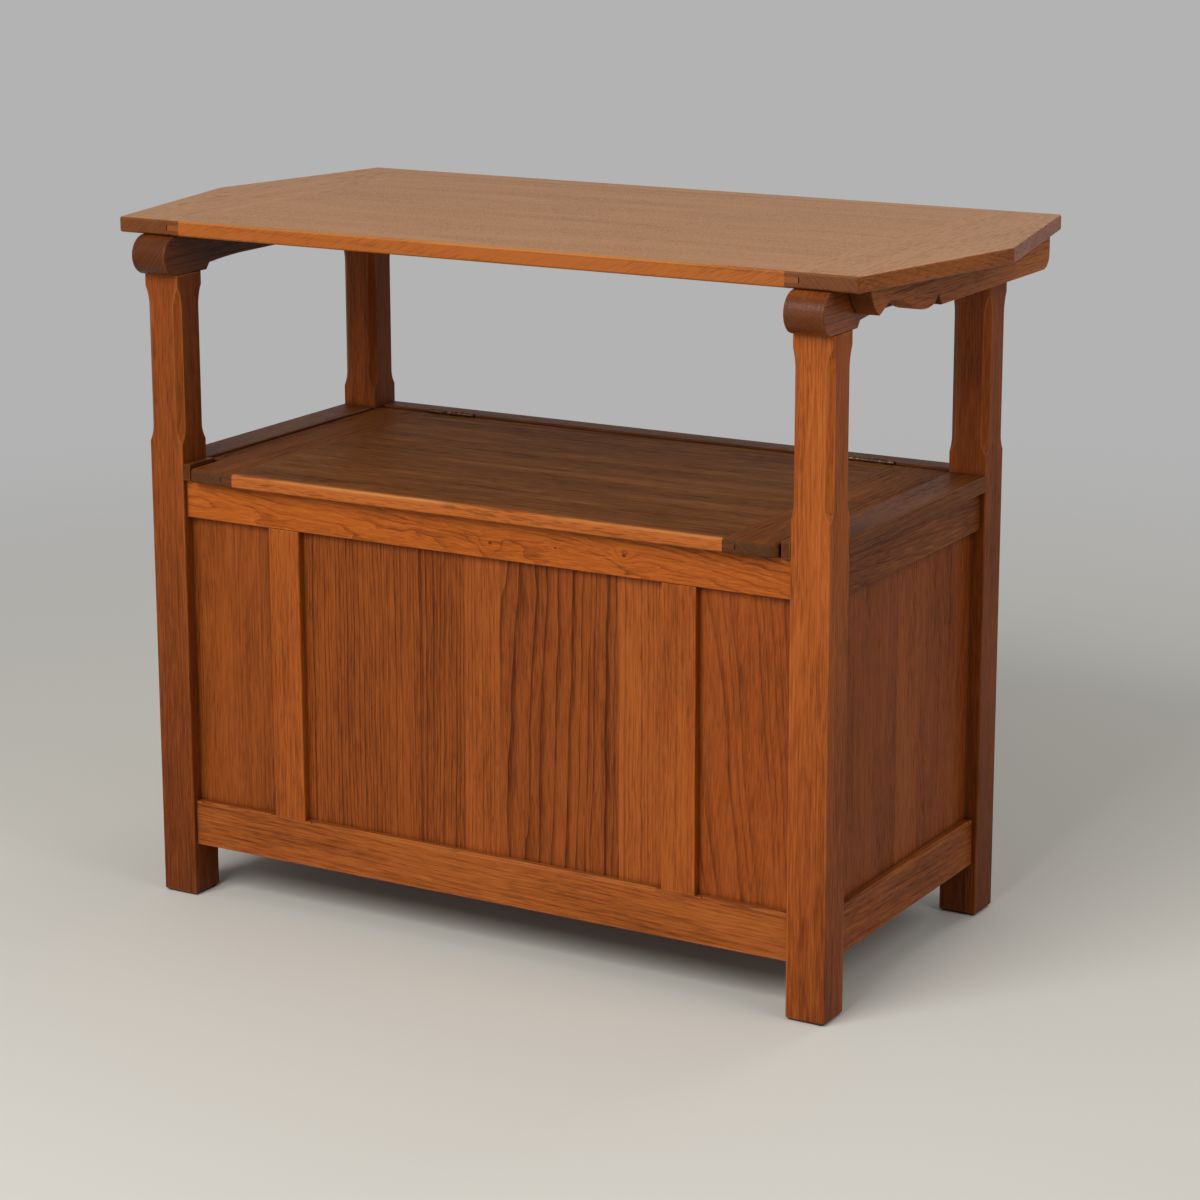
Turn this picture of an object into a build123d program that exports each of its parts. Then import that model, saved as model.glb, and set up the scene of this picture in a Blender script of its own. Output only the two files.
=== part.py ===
"""Monks bench: an oak chest seat whose table top tips up on two pivot pegs to become the back.

Millimetres. X runs along the seat, the front is towards -Y, Z is up from the floor.
The origin is on the floor, under the middle of the whole bench.
"""

import os
from math import sqrt

from build123d import *

os.makedirs("parts", exist_ok=True)

# Driving dimensions: the frame
frame_width = 778.0
frame_depth = 393.0
seat_height = 464.0
table_height = 718.0

# Posts and their stop-chamfered upper length
post_size = 41.0
post_round = 1.5
foot_chamfer = 3.0
corner_chamfer = 6.5
chamfer_above_seat = 22.0
chamfer_below_arm = 11.0
lower_stop_length = 17.0
upper_stop_length = 24.0
stub_size = 22.0
stub_height = 12.0

# Table top, its end clamps and its bearers
top_length = 929.0
top_depth = 469.2
top_edge_length = 831.0
top_board_length = 682.0
top_thickness = 16.0
top_front_overhang = 4.1
top_edge_round = 2.5
top_corner_round = 3.0
top_tongue_length = 14.0
top_tongue_thickness = 5.5
bearer_thickness = 22.0
bearer_height = 36.3
bearer_length = 416.5
bearer_setback = 29.0
bearer_end_round = 15.0
bearer_arris = 1.0

# Carved front of a bearer: distance behind its front end, height above its lower edge
bearer_front_curve = (7.5, 19.8)
bearer_nose = (19.5, 9.2)
bearer_arch = [
    (28.0, 13.0), (38.0, 18.0), (49.0, 19.8), (61.0, 18.3), (81.0, 11.4), (100.0, 4.0), (119.0, 0.9),
]
bearer_lobe_end = (140.0, 3.4)
bearer_notch_top = (148.2, 10.6)
bearer_notch_end = 155.2

# Arms and pivot pegs
arm_height = 40.7
arm_round = 1.5
arm_pad_length = 10.0
arm_step = (5.0, 6.5)
arm_hollow = (70.0, 10.0)
peg_diameter = 12.0
peg_in_arm = 30.0
peg_in_bearer = 16.0

# Rails, muntins and panels of the chest
rail_setback = 6.0
rail_thickness = 20.0
top_rail_height = 40.0
bottom_rail_height = 48.0
floor_clearance = 56.0
rail_arris = 1.2
rail_chamfer = 2.5
rail_chamfer_stop = 7.0
muntin_width = 37.0
muntin_centre = 228.0
panel_recess = 8.5
panel_thickness = 7.0
groove_depth = 8.0
tenon_length = 17.0
tenon_thickness = 8.0
tenon_shoulder = 6.0

# Chest floor
cleat_size = 15.0
cleat_above_rail = 12.0
floor_thickness = 8.0

# Seat
strip_thickness = 16.5
strip_rise = 2.5
strip_arris = 1.5
lid_overhang = 7.5
lid_board_length = 562.0
lid_edge_round = 3.5
lid_under_round = 2.0
lid_corner_round = 8.0
lid_tongue_length = 13.0
lid_tongue_thickness = 4.5
fillet_width = 9.0
rear_strip_width = 26.4

# Butt hinges of the lid
hinge_centre = 254.0
hinge_length = 56.0
hinge_rise = 2.0
leaf_thickness = 0.95
leaf_height = 12.5
barrel_diameter = 4.4
pin_diameter = 2.0
knuckle_count = 5
hinge_screw_spacing = 20.0
hinge_screw_drop = 7.0
hinge_screw_diameter = 2.0
hinge_screw_length = 12.0

# Screws that hold the bearers to the table top
bearer_screw_places = (175.0, 260.0, 395.0)
bearer_screw_diameter = 4.0
bearer_screw_bite = 10.0
screw_head_diameter = 8.0
screw_head_height = 3.0
screw_slot = 1.2
counterbore_depth = 18.0

# Clearances
top_gap = 0.3
bearer_gap = 1.0
joint_fit = 0.1
end_room = 1.0
glue_line = 0.02
running_fit = 0.06
lid_rest_gap = 0.4
lid_post_gap = 0.8
lid_strip_gap = 2.3
lid_notch_gap = 3.0
lid_hinge_gap = 2.4
hinge_edge_room = 0.6
knuckle_gap = 0.25

# Heights that follow from the driving dimensions
top_underside = table_height - top_thickness
arm_top = top_underside - top_gap
post_height = arm_top - arm_height
strip_top = seat_height + strip_rise
rail_top = strip_top - strip_thickness
top_rail_low = rail_top - top_rail_height
bottom_rail_top = floor_clearance + bottom_rail_height
lid_thickness = seat_height - rail_top - lid_rest_gap
lid_low = seat_height - lid_thickness

# The bench is centred front to back between the scroll of the arms and the rear of the top
scroll_radius = arm_height / 2
front_y = (scroll_radius + top_front_overhang - top_depth) / 2
rear_y = front_y + frame_depth
middle_y = front_y + frame_depth / 2
front_inner_y = front_y + post_size
rear_inner_y = rear_y - post_size
outer_x = frame_width / 2
inner_x = outer_x - post_size
post_x = outer_x - post_size / 2
post_y = front_y + post_size / 2
top_y = front_y - top_front_overhang + top_depth / 2

# Pivot of the table top: the rear end of each arm is rounded about it
arm_end_radius = scroll_radius
pivot_y = rear_y - arm_end_radius
pivot_z = arm_top - arm_end_radius

# Hinge line of the seat lid
rear_strip_front = rear_y - rear_strip_width
lid_rear = rear_strip_front - lid_hinge_gap
lid_front = front_y - lid_overhang
hinge_y = rear_strip_front - lid_hinge_gap / 2
hinge_z = seat_height + hinge_rise
barrel_radius = barrel_diameter / 2
pin_radius = pin_diameter / 2
barrel_ease = barrel_radius - lid_hinge_gap / 2 + hinge_edge_room

# Each wall of the chest is drawn on a plane at floor level, in the middle of the wall:
# its X runs along the wall on the outer face of the rails, its Y points into the chest
wall_x = outer_x - rail_setback
front_wall = Plane(origin=(0, front_y + rail_setback, 0), x_dir=(1, 0, 0), z_dir=(0, 0, 1))
back_wall = Plane(origin=(0, rear_y - rail_setback, 0), x_dir=(-1, 0, 0), z_dir=(0, 0, 1))
right_wall = Plane(origin=(wall_x, middle_y, 0), x_dir=(0, 1, 0), z_dir=(0, 0, 1))
long_span = 2 * inner_x
short_span = frame_depth - 2 * post_size

# Joinery that rails, posts, muntins and panels share
rail_middle = rail_thickness / 2
panel_middle = panel_recess + panel_thickness / 2
groove_width = panel_thickness + 2 * joint_fit
mortise_depth = tenon_length + end_room
mortise_width = tenon_thickness + 2 * joint_fit
panel_tongue = groove_depth - end_room
top_tenon = (top_rail_low + groove_depth, rail_top - tenon_shoulder)
bottom_tenon = (floor_clearance + tenon_shoulder, bottom_rail_top - groove_depth)
groove_ends = (bottom_rail_top - groove_depth, top_rail_low + groove_depth)


def save(builder, name):
    builder.part.label = name
    export_step(builder.part, f"parts/{name}.step")


def save_pair(right, name):
    """Write a piece of the right side and its mirror image on the left."""
    save(right, f"right_{name}")
    with BuildPart() as left:
        mirror(right.part, about=Plane.YZ)
    save(left, f"left_{name}")


# Posts
with BuildPart() as front_post:
    with BuildSketch(Plane.XY) as foot:
        with Locations((post_x, post_y)):
            RectangleRounded(post_size - 2 * foot_chamfer, post_size - 2 * foot_chamfer, post_round)
    with BuildSketch(Plane.XY.offset(foot_chamfer)) as section:
        with Locations((post_x, post_y)):
            RectangleRounded(post_size, post_size, post_round)
    loft([foot.sketch, section.sketch])
    extrude(section.sketch, amount=post_height - foot_chamfer)
    with BuildSketch(Plane.XY.offset(post_height)):
        with Locations((post_x, post_y)):
            Rectangle(stub_size, stub_size)
    extrude(amount=stub_height)

    # One chamfer cutter on each corner, drawn on the diagonal plane of the post
    arris = post_size / sqrt(2)
    chamfer_face = arris - corner_chamfer / sqrt(2)
    low = seat_height + chamfer_above_seat
    high = post_height - chamfer_below_arm
    for side_x, side_y in ((1, 1), (-1, 1), (-1, -1), (1, -1)):
        diagonal = Plane(
            origin=(post_x, post_y, 0), x_dir=(side_x, side_y, 0), z_dir=(side_y, -side_x, 0)
        )
        with BuildSketch(diagonal):
            with BuildLine():
                flat_low = (chamfer_face, low + lower_stop_length)
                flat_high = (chamfer_face, high - upper_stop_length)
                Line(flat_low, flat_high)
                TangentArc(flat_low, (arris, low), tangent=(0, -1))
                TangentArc(flat_high, (arris, high), tangent=(0, 1))
                outside = arris + post_round
                Polyline((arris, low), (outside, low), (outside, high), (arris, high))
            make_face()
        extrude(amount=corner_chamfer, both=True, mode=Mode.SUBTRACT)

    # Mortises and panel grooves towards the front wall and the end wall
    for wall, inner_edge in ((front_wall, inner_x), (right_wall, -short_span / 2)):
        into_post = 1 if inner_edge > 0 else -1
        for tenon_low, tenon_high in (top_tenon, bottom_tenon):
            with BuildSketch(wall.offset(tenon_low)):
                with Locations((inner_edge + into_post * mortise_depth / 2, rail_middle)):
                    Rectangle(mortise_depth, mortise_width)
            extrude(amount=tenon_high - tenon_low, mode=Mode.SUBTRACT)
        with BuildSketch(wall.offset(groove_ends[0])):
            with Locations((inner_edge + into_post * groove_depth / 2, panel_middle)):
                Rectangle(groove_depth, groove_width)
        extrude(amount=groove_ends[1] - groove_ends[0], mode=Mode.SUBTRACT)
save_pair(front_post, "front_post")

with BuildPart() as rear_post:
    mirror(front_post.part, about=Plane.XZ.offset(-middle_y))
save_pair(rear_post, "rear_post")


# Rails of the chest: tenoned into the posts, grooved for the panels and mortised for the muntins
def chest_rail(wall, span, low, high, tenon, groove_low, muntins, bays):
    tenon_low, tenon_high = tenon
    with BuildPart() as rail:
        with BuildSketch(wall.offset(low)):
            with Locations((0, rail_middle)):
                Rectangle(span, rail_thickness)
        extrude(amount=high - low)
        outer_face = rail.faces().sort_by(Axis(wall.origin, wall.y_dir))[0]
        fillet(outer_face.edges().filter_by(Axis(wall.origin, wall.x_dir)), rail_arris)
        with BuildSketch(wall.offset(tenon_low + joint_fit)):
            with Locations((0, rail_middle)):
                Rectangle(span + 2 * tenon_length, tenon_thickness)
        extrude(amount=tenon_high - tenon_low - 2 * joint_fit)
        with BuildSketch(wall.offset(groove_low)):
            with Locations((0, panel_middle)):
                Rectangle(span, groove_width)
        extrude(amount=groove_depth, mode=Mode.SUBTRACT)
        if muntins:
            into_rail = low if groove_low == low else high - mortise_depth
            with BuildSketch(wall.offset(into_rail)):
                with Locations(*[(x, rail_middle) for x in muntins]):
                    Rectangle(muntin_width - 2 * groove_depth, mortise_width)
            extrude(amount=mortise_depth, mode=Mode.SUBTRACT)
        # The upper outer arris is chamfered in each bay, between stops
        for start, end in bays:
            bay = Plane(
                origin=wall.from_local_coords(Vector(start + rail_chamfer_stop, 0, high)),
                x_dir=wall.y_dir,
                z_dir=wall.x_dir,
            )
            with BuildSketch(bay):
                Polygon((0, 0), (0, -rail_chamfer), (rail_chamfer, 0), align=None)
            extrude(amount=end - start - 2 * rail_chamfer_stop, mode=Mode.SUBTRACT)
    return rail


def top_rail(wall, span, muntins=()):
    return chest_rail(wall, span, top_rail_low, rail_top, top_tenon, top_rail_low, muntins, bays=())


def bottom_rail(wall, span, muntins=()):
    groove_low = bottom_rail_top - groove_depth
    edges = [-span / 2]
    for x in muntins:
        edges += [x - muntin_width / 2, x + muntin_width / 2]
    edges += [span / 2]
    bays = list(zip(edges[::2], edges[1::2]))
    return chest_rail(
        wall, span, floor_clearance, bottom_rail_top, bottom_tenon, groove_low, muntins, bays
    )


muntin_places = (-muntin_centre, muntin_centre)
save(top_rail(front_wall, long_span, muntin_places), "front_top_rail")
save(bottom_rail(front_wall, long_span, muntin_places), "front_bottom_rail")
save(top_rail(back_wall, long_span), "back_top_rail")
save(bottom_rail(back_wall, long_span), "back_bottom_rail")
save_pair(top_rail(right_wall, short_span), "top_rail")
save_pair(bottom_rail(right_wall, short_span), "bottom_rail")

# Muntins: upright members between the front panels, grooved on both edges
with BuildPart() as front_muntin:
    with BuildSketch(front_wall.offset(bottom_rail_top)):
        with Locations((muntin_centre, rail_middle)):
            Rectangle(muntin_width, rail_thickness)
    extrude(amount=top_rail_low - bottom_rail_top)
    fillet(front_muntin.faces().sort_by(Axis.Y)[0].edges().filter_by(Axis.Z), rail_arris)
    with BuildSketch(front_wall.offset(bottom_rail_top - tenon_length)):
        with Locations((muntin_centre, rail_middle)):
            Rectangle(muntin_width - 2 * groove_depth - 2 * joint_fit, tenon_thickness)
    extrude(amount=top_rail_low - bottom_rail_top + 2 * tenon_length)
    groove_offset = (muntin_width - groove_depth) / 2
    with BuildSketch(front_wall.offset(bottom_rail_top)):
        with Locations(
            (muntin_centre - groove_offset, panel_middle), (muntin_centre + groove_offset, panel_middle)
        ):
            Rectangle(groove_depth, groove_width)
    extrude(amount=top_rail_low - bottom_rail_top, mode=Mode.SUBTRACT)
save_pair(front_muntin, "front_muntin")


# Panels: plain boards held in the grooves on all four edges
def chest_panel(wall, start, end):
    panel_low = bottom_rail_top - panel_tongue
    with BuildPart() as panel:
        with BuildSketch(wall.offset(panel_low)):
            with Locations(((start + end) / 2, panel_middle)):
                Rectangle(end - start + 2 * panel_tongue, panel_thickness)
        extrude(amount=top_rail_low + panel_tongue - panel_low)
    return panel


muntin_inner = muntin_centre - muntin_width / 2
muntin_outer = muntin_centre + muntin_width / 2
save(chest_panel(front_wall, -muntin_inner, muntin_inner), "front_middle_panel")
save_pair(chest_panel(front_wall, muntin_outer, inner_x), "front_panel")
save_pair(chest_panel(right_wall, -short_span / 2, short_span / 2), "end_panel")
save(chest_panel(back_wall, -long_span / 2, long_span / 2), "back_panel")

# Chest floor on two cleats, notched round the posts
cleat_low = floor_clearance + cleat_above_rail
floor_low = cleat_low + cleat_size
inside_front = front_y + rail_setback + rail_thickness
inside_rear = rear_y - rail_setback - rail_thickness
for cleat_name, cleat_y in (
    ("front_floor_cleat", inside_front + cleat_size / 2),
    ("back_floor_cleat", inside_rear - cleat_size / 2),
):
    with BuildPart() as floor_cleat:
        with BuildSketch(Plane.XY.offset(cleat_low)):
            with Locations((0, cleat_y)):
                Rectangle(long_span - 2 * end_room, cleat_size)
        extrude(amount=cleat_size)
    save(floor_cleat, cleat_name)

with BuildPart() as chest_floor:
    inside_x = wall_x - rail_thickness
    with BuildSketch(Plane.XY.offset(floor_low)):
        with Locations((0, middle_y)):
            Rectangle(2 * (inside_x - end_room), inside_rear - inside_front - 2 * end_room)
        with Locations((post_x, post_y), (-post_x, post_y)):
            Rectangle(post_size + 2 * end_room, post_size + 2 * end_room, mode=Mode.SUBTRACT)
        with Locations((post_x, rear_y - post_size / 2), (-post_x, rear_y - post_size / 2)):
            Rectangle(post_size + 2 * end_room, post_size + 2 * end_room, mode=Mode.SUBTRACT)
    extrude(amount=floor_thickness)
save(chest_floor, "chest_floor")

# Arms: rounded scroll in front, hollowed underneath, rounded about the pivot at the rear
peg_y_z = (pivot_y, pivot_z)
with BuildPart() as arm:
    with BuildSketch(Plane.YZ.offset(inner_x)):
        with BuildLine():
            front_pad = front_inner_y + arm_pad_length
            rear_pad = rear_inner_y - arm_pad_length
            step_length, step_rise = arm_step
            hollow_length, hollow_rise = arm_hollow
            front_step = (front_pad + step_length, post_height + step_rise)
            rear_step = (rear_pad - step_length, post_height + step_rise)
            hollow_front = (front_pad + hollow_length, post_height + hollow_rise)
            hollow_rear = (rear_pad - hollow_length, post_height + hollow_rise)
            scroll_tip = (front_y - scroll_radius, arm_top - scroll_radius)
            Line((front_y, arm_top), (pivot_y, arm_top))
            RadiusArc((pivot_y, arm_top), (rear_y, pivot_z), arm_end_radius)
            Polyline((rear_y, pivot_z), (rear_y, post_height), (rear_pad, post_height), rear_step)
            TangentArc(hollow_rear, rear_step, tangent=(1, 0))
            Line(hollow_rear, hollow_front)
            TangentArc(hollow_front, front_step, tangent=(-1, 0))
            Polyline(front_step, (front_pad, post_height), (front_y, post_height))
            ThreePointArc((front_y, post_height), scroll_tip, (front_y, arm_top))
        make_face()
    extrude(amount=post_size)
    fillet(arm.faces().filter_by(Axis.X).edges(), arm_round)
    with BuildSketch(Plane.XY.offset(post_height)):
        with Locations((post_x, post_y), (post_x, rear_y - post_size / 2)):
            Rectangle(stub_size + 2 * joint_fit, stub_size + 2 * joint_fit)
    extrude(amount=stub_height + end_room, mode=Mode.SUBTRACT)
    with BuildSketch(Plane.YZ.offset(outer_x)):
        with Locations(peg_y_z):
            Circle(peg_diameter / 2 + glue_line)
    extrude(amount=-(peg_in_arm + end_room), mode=Mode.SUBTRACT)
save_pair(arm, "arm")

# Pivot pegs: glued into the arms, turning in blind holes of the bearers
bearer_x = outer_x + bearer_gap
with BuildPart() as pivot_peg:
    with BuildSketch(Plane.YZ.offset(outer_x - peg_in_arm)):
        with Locations(peg_y_z):
            Circle(peg_diameter / 2)
    extrude(amount=peg_in_arm + bearer_gap + peg_in_bearer)
save_pair(pivot_peg, "pivot_peg")

# Table top: a long board tongued into a clamp at each end
board_half = top_board_length / 2
tongue_low = top_underside + (top_thickness - top_tongue_thickness) / 2
with BuildPart() as top_board:
    with BuildSketch(Plane.XY.offset(top_underside)):
        with Locations((0, top_y)):
            Rectangle(top_board_length, top_depth)
    extrude(amount=top_thickness)
    fillet(top_board.edges().filter_by(Axis.X), top_edge_round)
    with BuildSketch(Plane.XY.offset(tongue_low)):
        with Locations((0, top_y)):
            Rectangle(top_board_length + 2 * top_tongue_length, top_depth)
    extrude(amount=top_tongue_thickness)
save(top_board, "top_board")

bearer_middle = bearer_x + bearer_thickness / 2
bearer_front = front_y + bearer_setback
bearer_low = top_underside - bearer_height
screw_points = [(bearer_middle, bearer_front + place) for place in bearer_screw_places]
with BuildPart() as top_clamp:
    with BuildSketch(Plane.XY.offset(top_underside)):
        with BuildLine():
            half_depth = top_depth / 2
            Polyline(
                (board_half, top_y - half_depth),
                (top_edge_length / 2, top_y - half_depth),
                (top_length / 2, top_y),
                (top_edge_length / 2, top_y + half_depth),
                (board_half, top_y + half_depth),
                close=True,
            )
        make_face()
    extrude(amount=top_thickness)
    fillet(top_clamp.edges().filter_by(Axis.Z).sort_by(Axis.X)[2:], top_corner_round)
    joint_face = top_clamp.faces().sort_by(Axis.X)[0]
    outline = top_clamp.edges().group_by(Axis.Z)[0] + top_clamp.edges().group_by(Axis.Z)[-1]
    fillet(outline - joint_face.edges(), top_edge_round)
    with BuildSketch(Plane.XY.offset(tongue_low - joint_fit)):
        with Locations((board_half + (top_tongue_length + end_room) / 2, top_y)):
            Rectangle(top_tongue_length + end_room, top_depth)
    extrude(amount=top_tongue_thickness + 2 * joint_fit, mode=Mode.SUBTRACT)
    with BuildSketch(Plane.XY.offset(top_underside)):
        with Locations(*screw_points):
            Circle(bearer_screw_diameter / 2 + glue_line)
    extrude(amount=bearer_screw_bite + end_room, mode=Mode.SUBTRACT)
save_pair(top_clamp, "top_clamp")


# Bearers: carved at the front, bored for the pivot peg and counterbored for three screws
def on_bearer(point):
    behind, above = point
    return (bearer_front + behind, bearer_low + above)


with BuildPart() as bearer:
    with BuildSketch(Plane.YZ.offset(bearer_x)):
        with BuildLine():
            front_top = (bearer_front, top_underside)
            nose = on_bearer(bearer_nose)
            lobe_end = on_bearer(bearer_lobe_end)
            notch_end = (bearer_front + bearer_notch_end, bearer_low)
            rear_end = bearer_front + bearer_length
            ThreePointArc(front_top, on_bearer(bearer_front_curve), nose)
            Spline(nose, *[on_bearer(point) for point in bearer_arch], lobe_end)
            Polyline(lobe_end, on_bearer(bearer_notch_top), notch_end)
            Line(notch_end, (rear_end - bearer_end_round, bearer_low))
            RadiusArc(
                (rear_end - bearer_end_round, bearer_low),
                (rear_end, bearer_low + bearer_end_round),
                -bearer_end_round,
            )
            Polyline((rear_end, bearer_low + bearer_end_round), (rear_end, top_underside), front_top)
        make_face()
    extrude(amount=bearer_thickness)
    outer_face = bearer.faces().sort_by(Axis.X)[-1]
    fillet(outer_face.edges().sort_by(Axis.Z)[:-1], bearer_arris)
    with BuildSketch(Plane.YZ.offset(bearer_x)):
        with Locations(peg_y_z):
            Circle(peg_diameter / 2 + running_fit)
    extrude(amount=peg_in_bearer + end_room, mode=Mode.SUBTRACT)
    with BuildSketch(Plane.XY.offset(bearer_low)):
        with Locations(*screw_points):
            Circle(bearer_screw_diameter / 2 + joint_fit)
    extrude(amount=bearer_height, mode=Mode.SUBTRACT)
    with BuildSketch(Plane.XY.offset(bearer_low)):
        with Locations(*screw_points):
            Circle(screw_head_diameter / 2 + end_room)
    extrude(amount=counterbore_depth, mode=Mode.SUBTRACT)
save_pair(bearer, "bearer")

# Bearer screws: slotted round heads at the bottom of the counterbores
head_seat = bearer_low + counterbore_depth
with BuildPart() as bearer_screws:
    all_points = screw_points + [(-x, y) for x, y in screw_points]
    with BuildSketch(Plane.XY.offset(head_seat)):
        with Locations(*all_points):
            Circle(bearer_screw_diameter / 2)
    extrude(amount=top_underside + bearer_screw_bite - head_seat)
    with BuildSketch(Plane.XY.offset(head_seat - screw_head_height)):
        with Locations(*all_points):
            Circle(screw_head_diameter / 2)
    extrude(amount=screw_head_height)
    with BuildSketch(Plane.XY.offset(head_seat - screw_head_height)):
        with Locations(*all_points):
            Rectangle(screw_slot, screw_head_diameter)
    extrude(amount=screw_head_height / 2, mode=Mode.SUBTRACT)
save(bearer_screws, "bearer_screws")

# Seat strips beside and behind the lid, which stand a little above it, and the fillets beside
# the front posts, flush with their faces; the rear strip is recessed for the hinge barrels
lid_end = inner_x - lid_post_gap
strip_inner = lid_end + lid_strip_gap
with BuildPart() as seat_strip:
    with BuildSketch(Plane.XY.offset(rail_top)):
        with Locations(((strip_inner + outer_x) / 2, middle_y)):
            Rectangle(outer_x - strip_inner, short_span)
    extrude(amount=strip_thickness)
    fillet(seat_strip.edges().filter_by(Axis.Y).group_by(Axis.Z)[-1], strip_arris)
save_pair(seat_strip, "seat_strip")

hinge_screw_points = [
    (side * hinge_centre + step * hinge_screw_spacing, seat_height - hinge_screw_drop)
    for side in (-1, 1)
    for step in (-1, 0, 1)
]
barrel_recess_low = hinge_z - barrel_radius - hinge_edge_room
with BuildPart() as rear_strip:
    with BuildSketch(Plane.XY.offset(rail_top)):
        with Locations((0, rear_y - rear_strip_width / 2)):
            Rectangle(long_span, rear_strip_width)
    extrude(amount=strip_thickness)
    upper_edges = rear_strip.edges().filter_by(Axis.X).group_by(Axis.Z)[-1].sort_by(Axis.Y)
    fillet(upper_edges, strip_arris)
    with BuildSketch(Plane.XZ.offset(-rear_strip_front)):
        with Locations(*hinge_screw_points):
            Circle(hinge_screw_diameter / 2 + glue_line)
    extrude(amount=-hinge_screw_length, mode=Mode.SUBTRACT)
    with BuildSketch(Plane.XZ.offset(-rear_strip_front)):
        with Locations(*[(side * hinge_centre, barrel_recess_low) for side in (-1, 1)]):
            Rectangle(
                hinge_length + 2 * hinge_edge_room,
                strip_top - barrel_recess_low,
                align=(Align.CENTER, Align.MIN),
            )
    extrude(amount=-barrel_ease, mode=Mode.SUBTRACT)
save(rear_strip, "rear_seat_strip")

with BuildPart() as seat_fillet:
    with BuildSketch(Plane.XY.offset(rail_top)):
        with Locations((inner_x - fillet_width / 2, (front_y + front_inner_y) / 2)):
            Rectangle(fillet_width, post_size)
    extrude(amount=strip_thickness)
    front_edges = seat_fillet.faces().sort_by(Axis.Y)[0].edges().filter_by(Axis.X).sort_by(Axis.Z)
    fillet(front_edges[-1], strip_arris)
save_pair(seat_fillet, "seat_fillet")

# Seat lid: a board tongued into a clamp at each end, each clamp notched round a fillet,
# with its rear arris eased clear of the hinge barrels
lid_depth = lid_rear - lid_front
lid_y = (lid_front + lid_rear) / 2
lid_half = lid_board_length / 2
lid_tongue_low = lid_low + (lid_thickness - lid_tongue_thickness) / 2
with BuildPart() as lid_board:
    with BuildSketch(Plane.XY.offset(lid_low)):
        with Locations((0, lid_y)):
            Rectangle(lid_board_length, lid_depth)
    extrude(amount=lid_thickness)
    front_edges = lid_board.faces().sort_by(Axis.Y)[0].edges().filter_by(Axis.X).sort_by(Axis.Z)
    fillet(front_edges[0], lid_under_round)
    front_edges = lid_board.faces().sort_by(Axis.Y)[0].edges().filter_by(Axis.X).sort_by(Axis.Z)
    fillet(front_edges[-1], lid_edge_round)
    rear_edges = lid_board.faces().sort_by(Axis.Y)[-1].edges().filter_by(Axis.X).sort_by(Axis.Z)
    fillet(rear_edges[-1], barrel_ease)
    with BuildSketch(Plane.XY.offset(lid_tongue_low)):
        with Locations((0, lid_y)):
            Rectangle(lid_board_length + 2 * lid_tongue_length, lid_depth)
    extrude(amount=lid_tongue_thickness)
    with BuildSketch(Plane.XZ.offset(-lid_rear)):
        with Locations(*hinge_screw_points):
            Circle(hinge_screw_diameter / 2 + glue_line)
    extrude(amount=hinge_screw_length, mode=Mode.SUBTRACT)
save(lid_board, "lid_board")

notch_x = inner_x - fillet_width - lid_notch_gap
notch_y = front_inner_y + lid_notch_gap
with BuildPart() as lid_clamp:
    with BuildSketch(Plane.XY.offset(lid_low)):
        with BuildLine():
            Polyline(
                (lid_half, lid_front),
                (notch_x, lid_front),
                (notch_x, notch_y),
                (lid_end, notch_y),
                (lid_end, lid_rear),
                (lid_half, lid_rear),
                close=True,
            )
        make_face()
    extrude(amount=lid_thickness)
    front_corner = lid_clamp.edges().filter_by(Axis.Z).group_by(Axis.Y)[0].sort_by(Axis.X)[-1]
    fillet(front_corner, lid_corner_round)
    front_arc = lid_clamp.edges().filter_by(GeomType.CIRCLE).sort_by(Axis.Z)
    front_line = lid_clamp.faces().sort_by(Axis.Y)[0].edges().filter_by(Axis.X).sort_by(Axis.Z)
    fillet([front_arc[-1], front_line[-1]], lid_edge_round)
    front_arc = lid_clamp.edges().filter_by(GeomType.CIRCLE).sort_by(Axis.Z)
    front_line = lid_clamp.faces().sort_by(Axis.Y)[0].edges().filter_by(Axis.X).sort_by(Axis.Z)
    fillet([front_arc[0], front_line[0]], lid_under_round)
    rear_edges = lid_clamp.faces().sort_by(Axis.Y)[-1].edges().filter_by(Axis.X).sort_by(Axis.Z)
    fillet(rear_edges[-1], barrel_ease)
    with BuildSketch(Plane.XY.offset(lid_tongue_low - joint_fit)):
        with Locations((lid_half + (lid_tongue_length + end_room) / 2, lid_y)):
            Rectangle(lid_tongue_length + end_room, lid_depth)
    extrude(amount=lid_tongue_thickness + 2 * joint_fit, mode=Mode.SUBTRACT)
    with BuildSketch(Plane.XZ.offset(-lid_rear)):
        with Locations(*hinge_screw_points):
            Circle(hinge_screw_diameter / 2 + glue_line)
    extrude(amount=hinge_screw_length, mode=Mode.SUBTRACT)
save_pair(lid_clamp, "lid_clamp")

# Butt hinges: two leaves with interlocking knuckles on one pin
knuckle_length = hinge_length / knuckle_count
hinge_start = hinge_centre - hinge_length / 2
hinge_screw_row = [(step * hinge_screw_spacing, seat_height - hinge_screw_drop) for step in (-1, 0, 1)]


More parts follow.
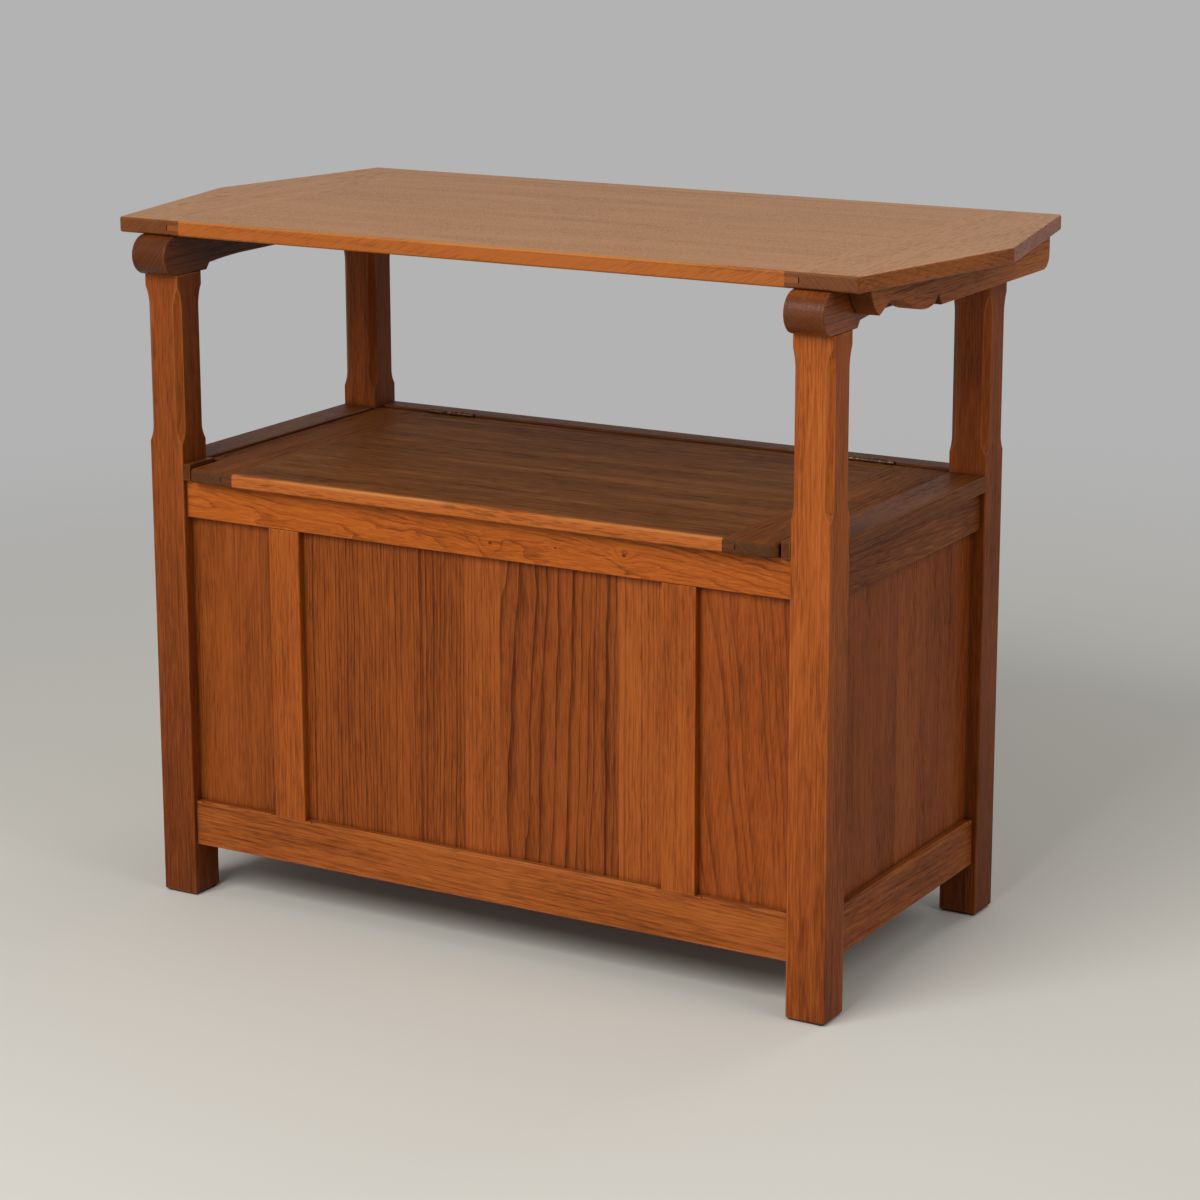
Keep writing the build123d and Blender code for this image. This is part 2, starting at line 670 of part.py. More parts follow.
def hinge_leaf(leaf_y, first, bore_radius, screw_face):
    """A leaf that carries every second knuckle from the first, with countersunk screw holes."""
    with BuildPart() as leaf:
        with BuildSketch(Plane.XY.offset(seat_height - leaf_height)):
            with Locations((hinge_centre, leaf_y)):
                Rectangle(hinge_length, leaf_thickness)
        extrude(amount=leaf_height + hinge_rise)
        for index in range(knuckle_count):
            own = index % 2 == first
            spread = -knuckle_gap / 2 if own else knuckle_gap / 2
            with BuildSketch(Plane.YZ.offset(hinge_start + index * knuckle_length - spread)):
                with Locations((hinge_y, hinge_z)):
                    Circle(barrel_radius if own else barrel_radius + knuckle_gap)
            extrude(amount=knuckle_length + 2 * spread, mode=Mode.ADD if own else Mode.SUBTRACT)
        with BuildSketch(Plane.YZ.offset(hinge_start)):
            with Locations((hinge_y, hinge_z)):
                Circle(bore_radius)
        extrude(amount=hinge_length, mode=Mode.SUBTRACT)
        with Locations(screw_face):
            with Locations(*hinge_screw_row):
                CounterSinkHole(
                    hinge_screw_diameter / 2,
                    hinge_screw_diameter / 2 + leaf_thickness,
                    counter_sink_angle=90,
                )
    return leaf


def hinge_screw_group(face_planes):
    """Countersunk screws whose heads lie flush with a leaf, driven along each plane's -Z."""
    with BuildPart() as screws:
        for face in face_planes:
            with Locations(face):
                with Locations(*hinge_screw_row):
                    Cone(
                        hinge_screw_diameter / 2,
                        hinge_screw_diameter / 2 + leaf_thickness,
                        leaf_thickness,
                        align=(Align.CENTER, Align.CENTER, Align.MAX),
                    )
                    with Locations((0, 0, -leaf_thickness)):
                        Cylinder(
                            hinge_screw_diameter / 2,
                            hinge_screw_length - end_room,
                            align=(Align.CENTER, Align.CENTER, Align.MAX),
                        )
    return screws


# The open faces of the leaves look at each other across the hinge gap
fixed_face_y = rear_strip_front - leaf_thickness
lid_face_y = lid_rear + leaf_thickness
fixed_faces = [
    Plane(origin=(x, fixed_face_y, 0), x_dir=(1, 0, 0), z_dir=(0, -1, 0))
    for x in (-hinge_centre, hinge_centre)
]
lid_faces = [
    Plane(origin=(x, lid_face_y, 0), x_dir=(-1, 0, 0), z_dir=(0, 1, 0))
    for x in (-hinge_centre, hinge_centre)
]
fixed_leaf_y = rear_strip_front - leaf_thickness / 2
lid_leaf_y = lid_rear + leaf_thickness / 2
fixed_leaf = hinge_leaf(fixed_leaf_y, 0, pin_radius + glue_line, fixed_faces[1])
lid_leaf = hinge_leaf(lid_leaf_y, 1, pin_radius + running_fit, lid_faces[1])
save_pair(fixed_leaf, "fixed_hinge_leaf")
save_pair(lid_leaf, "lid_hinge_leaf")
save(hinge_screw_group(fixed_faces), "fixed_hinge_screws")
save(hinge_screw_group(lid_faces), "lid_hinge_screws")

with BuildPart() as hinge_pin:
    with BuildSketch(Plane.YZ.offset(hinge_start)):
        with Locations((hinge_y, hinge_z)):
            Circle(pin_radius)
    extrude(amount=hinge_length)
save_pair(hinge_pin, "hinge_pin")
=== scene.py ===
import math

import bpy
from mathutils import Matrix, Vector


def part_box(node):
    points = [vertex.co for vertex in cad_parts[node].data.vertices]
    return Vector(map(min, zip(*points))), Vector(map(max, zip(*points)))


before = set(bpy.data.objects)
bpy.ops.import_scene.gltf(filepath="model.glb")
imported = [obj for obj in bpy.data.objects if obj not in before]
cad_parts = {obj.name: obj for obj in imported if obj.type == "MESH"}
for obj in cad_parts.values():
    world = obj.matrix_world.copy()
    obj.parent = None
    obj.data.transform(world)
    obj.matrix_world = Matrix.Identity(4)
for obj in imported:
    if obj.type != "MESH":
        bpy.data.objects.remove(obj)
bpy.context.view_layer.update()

bpy.ops.object.select_all(action="DESELECT")


# Posts
# Four square oak posts, stop-chamfered above the seat. The oak is stained a warm brown, sealed and
# waxed to a satin, and has paled along its arrises. Towards the feet it is painted darker, as painted
# shade where the light falls off towards the floor.
def linear(hex_colour):
    """Turn an sRGB hex value into the linear colour that Blender works in."""
    parts = [int(hex_colour[place:place + 2], 16) / 255 for place in (1, 3, 5)]
    bent = [part / 12.92 if part <= 0.04045 else ((part + 0.055) / 1.055) ** 2.4 for part in parts]
    return bent + [1.0]


def add(tree, kind, sockets, **settings):
    """Add a shader node, with a value or a link for each socket, and return its outputs."""
    made = tree.nodes.new("ShaderNode" + kind)
    for name, value in settings.items():
        setattr(made, name, value)
    for name, value in sockets.items():
        if isinstance(value, bpy.types.NodeSocket):
            tree.links.new(value, made.inputs[name])
        else:
            made.inputs[name].default_value = value
    return made.outputs


def stained_oak(
    piece, grain, heart, dark, brown, pale, ring=4.0, lean=(0.0, 0.0), waver=4.0, ripple=0.5, curl=0.0,
    rings=0.25, dip=0.0, blotch=0.6, pores=0.5, worn_and_highlit="#B0672C", wear_and_highlight=0.4, cut="#44200C", staves=(),
    stave_axis="X", knots=(), painted_foot_shade=0.0, handled=0.0, bared="#B2602A", shoulder=0.0, sheen_colour="#BC8B58",
    painted_sheen=0.0, gloss=0.45, shine=0.1,
):
    """Waxed, stained oak, sawn out of a log: its growth rings run round the heart of the tree.

    The heart is given in millimetres from the middle of the piece, across its grain, and leans away
    from the length of the piece by degrees. One ring is about so many millimetres wide, and the rings
    waver, ripple and curl by so many. Each stave is an edge, a shift of the heart and a change of tone,
    and each knot is a place, a size and a push. The front is bared by hands over the handled width, a
    board is a tongue beyond its shoulders, faces that look up are painted paler as a painted sheen, and
    the lower part may be painted darker as painted shade where the light falls off towards the floor.
    """
    material = bpy.data.materials.new("stained_oak_" + piece)
    material.use_nodes = True
    tree = material.node_tree
    shader = tree.nodes["Principled BSDF"]
    place = add(tree, "TexCoord", {})
    axes = add(tree, "SeparateXYZ", {0: place["Object"]})
    first, second = [axis for axis in "XYZ" if axis != grain]
    board = add(tree, "CombineXYZ", {"X": axes[first], "Y": axes[second], "Z": axes[grain]})[0]
    low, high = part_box(piece)
    middle = (low + high) / 2
    order = ["XYZ".index(axis) for axis in (first, second, grain)]
    origin = Vector([middle[axis] for axis in order]) + Vector((heart[0], heart[1], 0)) / 1000
    turn = (math.radians(lean[0]), math.radians(lean[1]), 0)
    millimetres = [0.001] * 3
    log = add(
        tree, "Mapping", {"Vector": board, "Location": origin, "Rotation": turn, "Scale": millimetres},
        vector_type="TEXTURE",
    )[0]

    # Boards that are glued up from several staves change their log at each glue line. The tone starts
    # low, so that the streaks, bands and clouds bring it to the brown in the middle
    start_below = 0.12
    tone = -blotch / 2 - start_below
    for edge, shift, change in staves:
        past = add(tree, "Math", {0: axes[stave_axis], 1: edge / 1000}, operation="GREATER_THAN")[0]
        moved = add(tree, "VectorMath", {0: shift, "Scale": past}, operation="SCALE")[0]
        log = add(tree, "VectorMath", {0: log, 1: moved}, operation="ADD")[0]
        tone = add(tree, "Math", {0: past, 1: change, 2: tone}, operation="MULTIPLY_ADD")[0]

    # The tree grew a little crooked: its rings wander slowly, ripple over some 20 mm, and curl over
    # some 9 mm where branches were near
    grown = log
    for reach, length, sway in ((90, 400, waver), (22, 90, ripple), (9, 24, curl)):
        spread = (1 / reach, 1 / reach, 1 / length)
        slow = add(tree, "VectorMath", {0: log, 1: spread}, operation="MULTIPLY")[0]
        wander = add(tree, "TexNoise", {"Vector": slow, "Scale": 1.0, "Detail": 2.0})["Color"]
        aside = add(
            tree, "VectorMath", {0: wander, 1: (2 * sway, 2 * sway, 0), 2: (-sway, -sway, 0)},
            operation="MULTIPLY_ADD",
        )[0]
        grown = add(tree, "VectorMath", {0: grown, 1: aside}, operation="ADD")[0]
    flat = add(tree, "VectorMath", {0: grown, 1: (1, 1, 0)}, operation="MULTIPLY")[0]
    radius = add(tree, "VectorMath", {0: flat}, operation="LENGTH")["Value"]

    # Each knot pushes the rings aside and has a dark middle
    knot_dark = 0.0
    for knot_place, knot_size, push in knots:
        off = add(tree, "VectorMath", {0: place["Object"], 1: knot_place}, operation="SUBTRACT")[0]
        per_metre = [1000 / size for size in knot_size]
        scaled = add(tree, "VectorMath", {0: off, 1: per_metre}, operation="MULTIPLY")[0]
        square = add(tree, "VectorMath", {0: scaled, 1: scaled}, operation="DOT_PRODUCT")["Value"]
        minus = add(tree, "Math", {0: square, 1: -1.0}, operation="MULTIPLY")[0]
        bulge = add(tree, "Math", {0: minus}, operation="EXPONENT")[0]
        radius = add(tree, "Math", {0: bulge, 1: push, 2: radius}, operation="MULTIPLY_ADD")[0]
        spot = add(tree, "MapRange", {"Value": bulge, "From Min": 0.95, "From Max": 0.99})[0]
        knot_dark = add(tree, "Math", {0: knot_dark, 1: spot}, operation="MAXIMUM")[0]

    # Growth rings of uneven width: open dark pores in spring, dense paler wood in summer
    years = add(tree, "Math", {0: radius, 1: ring}, operation="DIVIDE")[0]
    swings_a_year = 0.37
    most_years = 2.2
    uneven = add(
        tree, "TexNoise", {"W": years, "Scale": swings_a_year, "Detail": 1.0}, noise_dimensions="1D"
    )[0]
    shifted = add(tree, "Math", {0: uneven, 1: most_years, 2: years}, operation="MULTIPLY_ADD")[0]
    season = add(tree, "Math", {0: shifted}, operation="FRACT")[0]
    spring = add(tree, "MapRange", {"Value": season, "From Min": 0.45, "From Max": 0.02})[0]
    spring = add(tree, "Math", {0: spring, 1: 1.6}, operation="POWER")[0]

    # Vessels are 0.3 mm wide; they are drawn 1 mm wide and 18 mm long, so that they show. They crowd
    # into the spring wood, and the fibres may dip into the board
    dipped = (math.radians(dip), 0, 0)
    crowding = 0.12
    fibres = add(tree, "Mapping", {"Vector": grown, "Rotation": dipped})[0]
    vessel = add(tree, "VectorMath", {0: fibres, 1: (1, 1, 1 / 18)}, operation="MULTIPLY")[0]
    dashes = add(tree, "TexNoise", {"Vector": vessel, "Scale": 1.0, "Detail": 1.0})[0]
    crowded = add(tree, "Math", {0: spring, 1: crowding, 2: dashes}, operation="MULTIPLY_ADD")[0]
    pore = add(tree, "MapRange", {"Value": crowded, "From Min": 0.54, "From Max": 0.68})[0]

    # Streaks of stain some 1.6 mm wide, bands of 7 mm, and slow changes of tone over 28 mm and more
    thin = add(tree, "VectorMath", {0: fibres, 1: (1 / 1.6, 1 / 1.6, 1 / 36)}, operation="MULTIPLY")[0]
    streak = add(tree, "TexNoise", {"Vector": thin, "Scale": 1.0, "Detail": 4.0})[0]
    wide = add(tree, "VectorMath", {0: grown, 1: (1 / 7, 1 / 7, 1 / 150)}, operation="MULTIPLY")[0]
    band = add(tree, "TexNoise", {"Vector": wide, "Scale": 1.0, "Detail": 2.0})[0]
    broad = add(tree, "VectorMath", {0: grown, 1: (1 / 28, 1 / 28, 1 / 200)}, operation="MULTIPLY")[0]
    cloud = add(tree, "TexNoise", {"Vector": broad, "Scale": 1.0, "Detail": 2.0})[0]
    fewest = 0.35
    patchy = add(
        tree, "MapRange", {"Value": cloud, "From Min": 0.7, "From Max": 0.35, "To Min": fewest}
    )[0]
    pore = add(tree, "Math", {0: pore, 1: patchy}, operation="MULTIPLY")[0]
    value = tone
    for source, weight in (
        (streak, 0.95), (band, 0.3), (cloud, blotch), (spring, -rings), (knot_dark, -0.8),
    ):
        value = add(tree, "Math", {0: source, 1: weight, 2: value}, operation="MULTIPLY_ADD")[0]
    # Painted shade: darker towards the floor, where the light falls off
    if painted_foot_shade:
        shade_start_height = 0.5
        height = add(tree, "MapRange", {"Value": axes["Z"], "From Min": shade_start_height, "From Max": 0.0})[0]
        value = add(tree, "Math", {0: height, 1: -painted_foot_shade, 2: value}, operation="MULTIPLY_ADD")[0]
    ramp = add(tree, "ValToRGB", {"Fac": value})
    stops = ramp[0].node.color_ramp.elements
    stops[0].color = linear(dark)
    stops[1].color = linear(pale)
    stops.new(0.5).color = linear(brown)

    # End grain drinks more stain and rounded arrises are rubbed pale. Corners, recesses and the places
    # between parts are darkened by ambient occlusion: painted shade, together with old wax and dust in
    # the joints
    facing = add(tree, "VectorMath", {0: place["Normal"]}, operation="ABSOLUTE")[0]
    sides = add(tree, "SeparateXYZ", {0: facing})
    across_cut = add(tree, "MapRange", {"Value": sides[grain], "From Min": 0.25, "From Max": 0.8})[0]
    arris_width = 0.003
    eased = add(tree, "Bevel", {"Radius": arris_width}, samples=6)[0]
    surface = add(tree, "NewGeometry", {})["Normal"]
    flatness = add(tree, "VectorMath", {0: eased, 1: surface}, operation="DOT_PRODUCT")["Value"]
    arris = add(tree, "MapRange", {"Value": flatness, "From Min": 0.995, "From Max": 0.9})[0]
    rub = add(tree, "MapRange", {"Value": cloud, "From Min": 0.35, "From Max": 0.6})[0]
    rubbed = add(tree, "Math", {0: arris, 1: rub}, operation="MULTIPLY")[0]
    corner_reach = 0.012
    # Painted shade: ambient occlusion darkens corners, recesses and the places between parts, with old
    # wax and dust in the joints
    open_air = add(tree, "AmbientOcclusion", {"Distance": corner_reach}, samples=6)["AO"]
    corner_shade = add(tree, "MapRange", {"Value": open_air, "From Min": 0.75, "From Max": 0.2})[0]
    layers = [(pore, pores, dark)]

    # Hands bare a front edge and rub its upper arris, which is also painted paler as a painted highlight,
    # and faces that look up are painted paler as a painted sheen
    skyward = add(tree, "SeparateXYZ", {0: place["Normal"]})["Z"]
    if handled:
        front = low.y + handled / 1000
        reached = add(tree, "MapRange", {"Value": axes["Y"], "From Min": front, "From Max": low.y})[0]
        bare = add(tree, "MapRange", {"Value": streak, "From Min": -0.3, "From Max": 0.45})[0]
        hands = add(tree, "Math", {0: reached, 1: bare}, operation="MULTIPLY")[0]
        layers.insert(0, (hands, 0.8, bared))
        # The upper front arris is rubbed pale and also painted paler as a painted highlight
        slope = add(tree, "Math", {0: sides["Y"], 1: skyward}, operation="MULTIPLY")[0]
        rubbed_and_highlit_crest = add(tree, "MapRange", {"Value": slope, "From Min": 0.1, "From Max": 0.45})[0]
        rubbed_and_highlit_crest = add(tree, "Math", {0: rubbed_and_highlit_crest, 1: rub}, operation="MULTIPLY")[0]
        layers.append((rubbed_and_highlit_crest, wear_and_highlight, worn_and_highlit))
    if painted_sheen:
        # Painted sheen: faces that look up are painted a paler tan
        painted_sheen_mask = add(tree, "MapRange", {"Value": skyward, "From Min": 0.6, "From Max": 0.95})[0]
        layers.insert(0, (painted_sheen_mask, painted_sheen, sheen_colour))

    # Where a board meets its clamp the joint is flush, so no arris is rubbed there; the tongue shows
    # dark in the edge of the clamp
    if shoulder:
        past_shoulder = 8
        flush_reach = 16
        joined = (shoulder + past_shoulder) / 1000
        along = add(tree, "Math", {0: axes["X"]}, operation="ABSOLUTE")[0]
        apart = add(tree, "Math", {0: along, 1: joined, 2: flush_reach / 1000}, operation="COMPARE")[0]
        apart = add(tree, "Math", {0: 1.0, 1: apart}, operation="SUBTRACT")[0]
        rubbed = add(tree, "Math", {0: rubbed, 1: apart}, operation="MULTIPLY")[0]
    if shoulder and grain == "X":
        tongue = add(tree, "Math", {0: along, 1: shoulder / 1000}, operation="GREATER_THAN")[0]
        layers.append((tongue, 0.85, cut))
    ringed = add(tree, "Math", {0: across_cut, 1: spring}, operation="MULTIPLY")[0]
    wax_and_corner_shade = "#241004"
    layers += [
        (across_cut, 0.75, cut), (ringed, 0.12, worn_and_highlit), (rubbed, wear_and_highlight, worn_and_highlit), (corner_shade, 0.7, wax_and_corner_shade),
    ]
    stained = ramp["Color"]
    for amount, weight, colour in layers:
        share = add(tree, "Math", {0: amount, 1: weight}, operation="MULTIPLY")[0]
        stained = add(tree, "Mix", {0: share, 6: stained, 7: linear(colour)}, data_type="RGBA")[2]
    tree.links.new(stained, shader.inputs["Base Color"])

    # The wax is duller over open pores and streaks, and the pores are shallow pits
    pore_dulling = 0.2
    streak_dulling = 0.1
    pore_depth = 0.0004
    least = gloss - streak_dulling / 2
    dull = add(tree, "Math", {0: pore, 1: pore_dulling, 2: least}, operation="MULTIPLY_ADD")[0]
    dull = add(tree, "Math", {0: streak, 1: streak_dulling, 2: dull}, operation="MULTIPLY_ADD")[0]
    tree.links.new(dull, shader.inputs["Roughness"])
    relief = add(tree, "Math", {0: pore, 1: -1.0, 2: streak}, operation="MULTIPLY_ADD")[0]
    bumps = add(tree, "Bump", {"Height": relief, "Strength": 0.35, "Distance": pore_depth})[0]
    tree.links.new(bumps, shader.inputs["Normal"])
    shader.inputs["IOR"].default_value = 1.5
    shader.inputs["Specular IOR Level"].default_value = shine
    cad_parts[piece].material_slots[0].material = material


post_tones = {"dark": "#602A0C", "brown": "#9C4F1B", "pale": "#B46830"}
# The left front and both rear posts get darker tones: painted shade, for where the top shades them and
# the light is weaker
painted_shade_post_tones = {"dark": "#4C2008", "brown": "#803E14", "pale": "#985222"}
for piece, heart, tones in (
    ("left_front_post", (-195, 70), painted_shade_post_tones),
    ("right_front_post", (170, -210), post_tones),
    ("left_rear_post", (-160, 185), painted_shade_post_tones),
    ("right_rear_post", (220, 140), painted_shade_post_tones),
):
    stained_oak(
        piece, "Z", heart, **tones, ring=3.0, rings=0.1, blotch=0.35, worn_and_highlit="#BE7A40", wear_and_highlight=0.6,
        painted_foot_shade=0.28,
    )

# Chest rails
# Eight oak rails, tenoned into the posts. The upper front rail was sawn from near a branch, so its
# figure is wild, with three small knots; the others are straight grained.
rail_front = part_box("front_top_rail")[0].y
stained_oak(
    "front_top_rail", "X", (60, -30), dark="#5E2606", brown="#A05016", pale="#B46222", ring=3.6,
    lean=(2.0, 1.5), waver=12.0, ripple=3.0, curl=1.4, blotch=0.4, wear_and_highlight=0.3,
    knots=[
        ((0.019, rail_front, 0.4257), (11, 60, 8), 6.0),
        ((0.169, rail_front, 0.4308), (11, 60, 8), 6.0),
        ((0.093, rail_front, 0.4295), (8, 60, 5), 3.0),
    ],
)
for piece, grain, heart, brown in (
    ("front_bottom_rail", "X", (-160, 145), "#904A19"),
    ("back_top_rail", "X", (150, 160), "#884517"),
    ("back_bottom_rail", "X", (170, -140), "#884517"),
    ("left_top_rail", "Y", (-40, 30), "#6E3712"),
    ("right_top_rail", "Y", (60, -26), "#6E3712"),
    ("left_bottom_rail", "Y", (160, 150), "#884517"),
    ("right_bottom_rail", "Y", (-170, 140), "#884517"),
):
    stained_oak(
        piece, grain, heart, dark="#4A1E08", brown=brown, pale="#AA622C", lean=(1.0, 1.2), rings=0.15,
        worn_and_highlit="#B8763C", wear_and_highlight=0.6,
    )

# Muntins and panels
# Two oak muntins divide the front; the panels are thin oak boards held in grooves. The middle panel is
# glued up from four staves, two of them straight grained and one with an open arched figure.
for piece, heart in (("left_front_muntin", (-180, 140)), ("right_front_muntin", (190, 135))):
    stained_oak(piece, "Z", heart, dark="#56260A", brown="#954A18", pale="#AA5E28", rings=0.15)
panel_tones = {"dark": "#461B04", "brown": "#803E13", "pale": "#9C511E", "blotch": 0.5}
stained_oak(
    "front_middle_panel", "Z", (-400, 60), **panel_tones, ring=4.5, waver=5.0, ripple=1.6, rings=0.4,
    lean=(0.5, 0.2),
    staves=[
        (-17, (0, 0, 300), 0.2),
        (24, (-280, -480, 500), -0.2),
        (158, (300, 500, 900), 0.35),
    ],
)
stained_oak("left_front_panel", "Z", (-340, 120), **panel_tones, ring=3.6, rings=0.12)
stained_oak(
    "right_front_panel", "Z", (-90, 260), dark="#5A2608", brown="#8C4315", pale="#A0521E",
    lean=(-2.0, 0.5), rings=0.3, ripple=1.0,
)
stained_oak(
    "right_end_panel", "Z", (130, 260), **panel_tones, ring=3.6, rings=0.15, stave_axis="Y",
    staves=[(-41, (0, 90, 300), 0.2), (8, (10, -180, 500), -0.15)],
)
stained_oak("left_end_panel", "Z", (-140, 220), **panel_tones)
stained_oak("back_panel", "Z", (-40, 160), **panel_tones, ring=5.0, lean=(2.0, 0.4))

# Chest floor
# A plain oak board, notched round the posts, that lies on two oak cleats inside the chest. It was
# stained with the rest but never waxed.
for piece in ("chest_floor", "front_floor_cleat", "back_floor_cleat"):
    stained_oak(piece, "X", (130, 170), dark="#4A2610", brown="#74421E", pale="#905A30", gloss=0.6)

# Arms and pivot pegs
# Each arm is one oak bar on a front and a rear post, with a round scroll in front that is end grain
# and so dark. The pegs are turned oak, glued into the arms, and the top tips on them.
# The left arm gets darker tones: painted shade, for its inner side in the shade under the top
painted_shade_arm_tones = {"dark": "#301404", "brown": "#5C2C0C", "pale": "#784018"}
arm_tones = {"dark": "#401A06", "brown": "#803F12", "pale": "#9C5822"}
for piece, heart, tones in (
    ("left_arm", (-70, 60), painted_shade_arm_tones),
    ("right_arm", (65, 70), arm_tones),
):
    stained_oak(
        piece, "Y", heart, **tones, worn_and_highlit="#A06A3C", wear_and_highlight=0.5, cut="#4A220A", gloss=0.3, shine=0.14
    )
for piece in ("left_pivot_peg", "right_pivot_peg"):
    stained_oak(piece, "X", (10, 14), dark="#4A2612", brown="#7A4824", pale="#986238", gloss=0.5)

# Seat strips and fillets
# Narrow oak strips beside and behind the lid, glued to the rails and a little proud of it, and two
# small oak fillets that close the seat beside the front posts.
for piece, grain, heart in (
    ("left_seat_strip", "Y", (-150, 140)),
    ("right_seat_strip", "Y", (160, 140)),
    ("rear_seat_strip", "X", (160, 140)),
    ("left_seat_fillet", "Y", (30, 20)),
    ("right_seat_fillet", "Y", (-30, 20)),
):
    stained_oak(piece, grain, heart, dark="#3A1C08", brown="#6A3812", pale="#84501F", wear_and_highlight=0.2)

# Seat lid
# An oak board tongued into a clamp at each end, and hung on two hinges at the back. Hands have bared
# its front edge and rubbed the arris pale, and the arris is also painted paler as a painted highlight.
lid_shoulder = 281
stained_oak(
    "lid_board", "X", (220, -160), dark="#40200A", brown="#704016", pale="#A46C38", lean=(0.6, 0.8),
    worn_and_highlit="#C88E56", wear_and_highlight=0.6, cut="#43281A", handled=10, shoulder=lid_shoulder, gloss=0.55, shine=0.05,
)
for piece, heart in (("left_lid_clamp", (150, -160)), ("right_lid_clamp", (-160, -150))):
    stained_oak(
        piece, "Y", heart, dark="#40200A", brown="#744018", pale="#8C5426", ring=3.5, wear_and_highlight=0.1,
        cut="#38271B", shoulder=lid_shoulder, gloss=0.6, shine=0.05,
    )

# Table top
# A long oak board tongued into a clamp at each end, with rounded edges. Its upper face is painted a
# paler tan as a painted sheen, and the edges keep the stain colour.
top_tones = {
    "dark": "#4A2008", "brown": "#8E4C1C", "pale": "#A8642C", "pores": 0.45, "blotch": 0.5,
    "worn_and_highlit": "#B87830", "wear_and_highlight": 0.5, "painted_sheen": 0.55, "shoulder": 341, "gloss": 0.36, "shine": 0.15,
}
stained_oak(
    "top_board", "X", (260, -220), **top_tones, ring=5.0, lean=(0.4, 0.4), dip=25.0, rings=0.2,
    cut="#7A4420", handled=4, bared="#A0561E",
)
for piece, heart in (("left_top_clamp", (160, -170)), ("right_top_clamp", (-170, -160))):
    stained_oak(piece, "Y", heart, **top_tones, rings=0.12, cut="#502D14")

# Bearers
# Two oak bars with a carved lower edge, screwed up under the top. They are bored for the pivot pegs
# and turn on them.
for piece, heart in (("left_bearer", (-140, 140)), ("right_bearer", (140, 145))):
    stained_oak(
        piece, "Y", heart, dark="#5A2C10", brown="#A05A28", pale="#B46E36", rings=0.12, cut="#3C1A08"
    )


# Hinges
# Two small butt hinges between the lid and the strip behind it, each with its pin and countersunk
# screws. Their brass has dulled brown in patches.
def aged_metal(name, pieces, bright, dull, roughness):
    """Metal that has tarnished in patches of a few millimetres."""
    material = bpy.data.materials.new(name)
    material.use_nodes = True
    tree = material.node_tree
    shader = tree.nodes["Principled BSDF"]
    place = add(tree, "TexCoord", {})
    patch = 4
    blotch = add(tree, "TexNoise", {"Vector": place["Object"], "Scale": 1000 / patch, "Detail": 4.0})[0]
    tarnish = add(tree, "MapRange", {"Value": blotch, "From Min": 0.4, "From Max": 0.65})[0]
    colour = add(tree, "Mix", {0: tarnish, 6: linear(bright), 7: linear(dull)}, data_type="RGBA")[2]
    tree.links.new(colour, shader.inputs["Base Color"])
    rough = add(tree, "Math", {0: tarnish, 1: 0.3, 2: roughness}, operation="MULTIPLY_ADD")[0]
    tree.links.new(rough, shader.inputs["Roughness"])
    shader.inputs["Metallic"].default_value = 1.0
    for piece in pieces:
        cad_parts[piece].material_slots[0].material = material


hinge_pieces = ["fixed_hinge_screws", "lid_hinge_screws"]
for side in ("left", "right"):
    hinge_pieces += [f"{side}_fixed_hinge_leaf", f"{side}_lid_hinge_leaf", f"{side}_hinge_pin"]
aged_metal("aged_brass", hinge_pieces, "#8C6C48", "#4E3824", 0.4)

# Bearer screws
# Slotted round-headed steel screws, sunk in counterbores of the bearers. They are browned with age.
aged_metal("browned_steel", ["bearer_screws"], "#77726A", "#4A3C30", 0.4)

# Studio
# A plain pale floor that fades into a pale background, a large soft lamp high in front, a low one
# under it, and weak ones on the right and behind.
bpy.ops.mesh.primitive_circle_add(vertices=64, radius=2.8, fill_type="NGON")
floor = bpy.context.object
floor.name = "studio_floor"
floor_paint = bpy.data.materials.new("floor_paint")
floor_paint.use_nodes = True
floor_tree = floor_paint.node_tree
painted = floor_tree.nodes["Principled BSDF"]
painted.inputs["Base Color"].default_value = linear("#CCC9C0")
painted.inputs["Roughness"].default_value = 0.8
floor_place = add(floor_tree, "TexCoord", {})["Object"]
reach = add(floor_tree, "VectorMath", {0: floor_place}, operation="LENGTH")["Value"]
fade = add(
    floor_tree, "MapRange", {"Value": reach, "From Min": 0.7, "From Max": 2.6},
    interpolation_type="SMOOTHSTEP",
)[0]
clear = add(floor_tree, "BsdfTransparent", {})[0]
faded = add(floor_tree, "MixShader", {0: fade, 1: painted.outputs[0], 2: clear})[0]
floor_tree.links.new(faded, floor_tree.nodes["Material Output"].inputs["Surface"])
floor.data.materials.append(floor_paint)

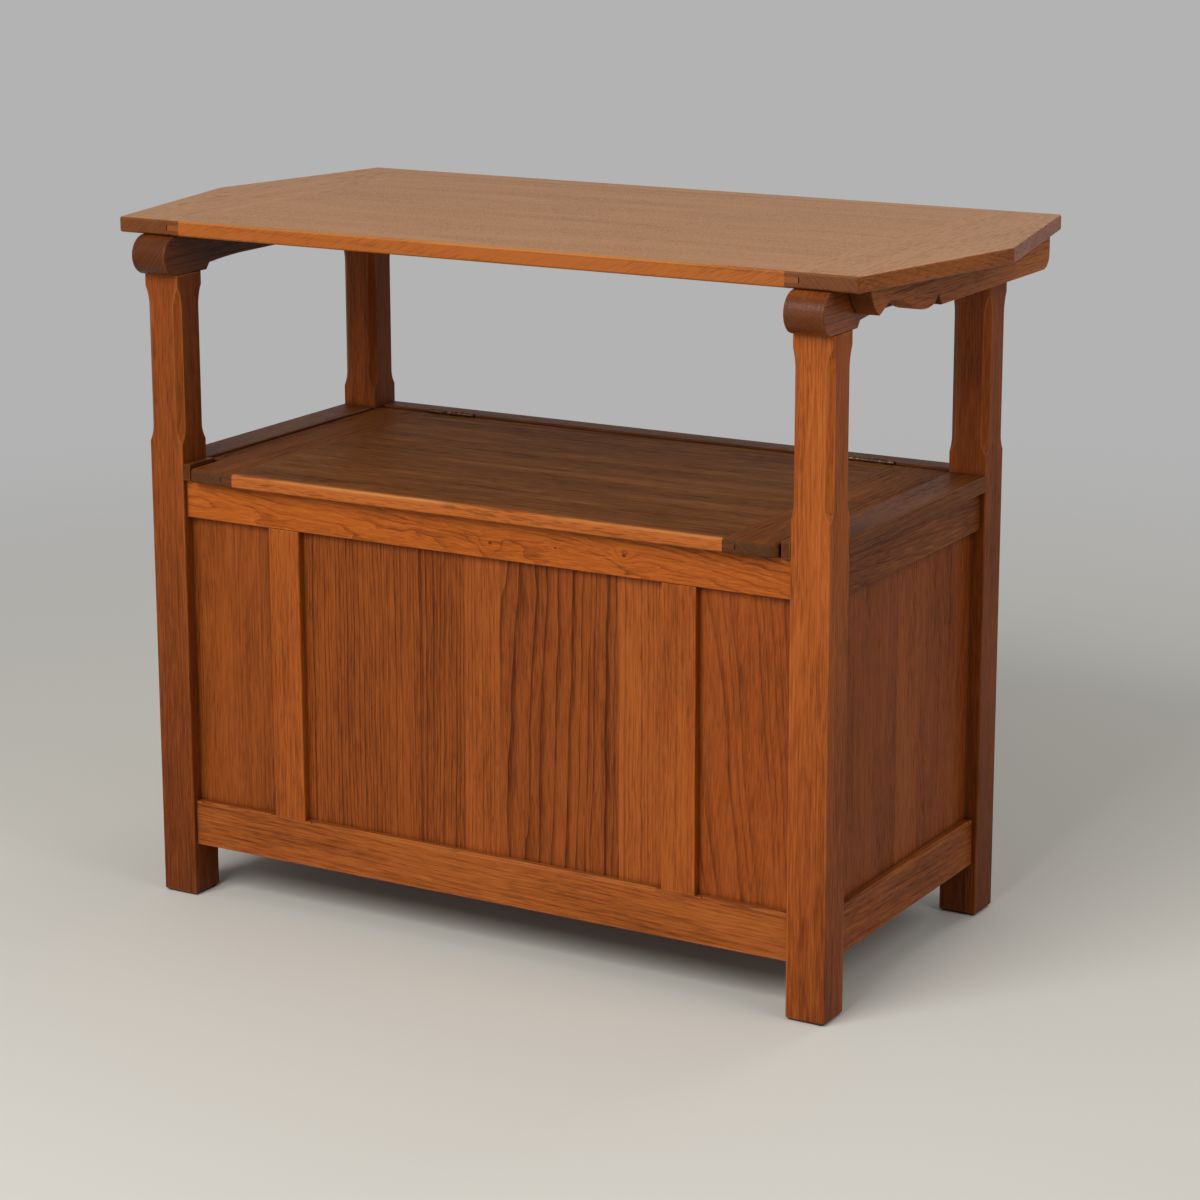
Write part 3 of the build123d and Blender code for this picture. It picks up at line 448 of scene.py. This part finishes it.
aim = Vector((0.0, 0.0, 0.4))
for lamp_name, lamp_place, width, height, power in (
    ("high_softbox", Vector((-0.4, -2.7, 2.4)), 2.2, 1.6, 96.0),
    ("low_softbox", Vector((-0.5, -3.0, 0.5)), 1.6, 0.8, 12.0),
    ("right_softbox", Vector((2.3, -0.3, 2.1)), 1.6, 1.6, 19.0),
    ("back_softbox", Vector((0.6, 2.6, 2.6)), 1.6, 1.6, 18.0),
):
    bpy.ops.object.light_add(type="AREA", location=lamp_place)
    lamp = bpy.context.object
    lamp.name = lamp_name
    lamp.rotation_euler = (aim - lamp_place).to_track_quat("-Z", "Y").to_euler()
    lamp.data.shape = "RECTANGLE"
    lamp.data.size = width
    lamp.data.size_y = height
    lamp.data.energy = power

world = bpy.data.worlds.new("even_light")
bpy.context.scene.world = world
world.use_nodes = True
backdrop = world.node_tree.nodes["Background"]
backdrop.inputs["Color"].default_value = linear("#FFFFFF")
rays = add(world.node_tree, "LightPath", {})
seen = rays["Is Camera Ray"]
for kind in ("Is Glossy Ray", "Is Transmission Ray"):
    seen = add(world.node_tree, "Math", {0: seen, 1: rays[kind]}, operation="MAXIMUM")[0]
light_level = 0.28
added_where_seen = 0.17
level = add(
    world.node_tree, "Math", {0: seen, 1: added_where_seen, 2: light_level}, operation="MULTIPLY_ADD"
)[0]
world.node_tree.links.new(level, backdrop.inputs["Strength"])
bpy.context.scene.view_settings.view_transform = "Standard"

# Camera
# It stands where the picture was taken: in front and to the right of the bench, and looks down on
# the table top at a low angle.
azimuth = math.radians(30.97)
elevation = math.radians(13.14)
roll = math.radians(-0.32)
backward = Vector((
    math.sin(azimuth) * math.cos(elevation),
    -math.cos(azimuth) * math.cos(elevation),
    math.sin(elevation),
))
sideways = Vector((math.cos(azimuth), math.sin(azimuth), 0.0))
upright = backward.cross(sideways)
right = math.cos(roll) * sideways + math.sin(roll) * upright
up = math.cos(roll) * upright - math.sin(roll) * sideways
camera_place = Matrix.Translation((1.6651, -2.8362, 1.1647))
camera_turn = Matrix((right, up, backward)).transposed().to_4x4()
bpy.ops.object.camera_add()
camera = bpy.context.object
camera.matrix_world = camera_place @ camera_turn
camera.data.lens = 98.1
camera.data.sensor_width = 36.0
camera.data.shift_x = 0.0375
camera.data.shift_y = -0.0619
bpy.context.scene.camera = camera
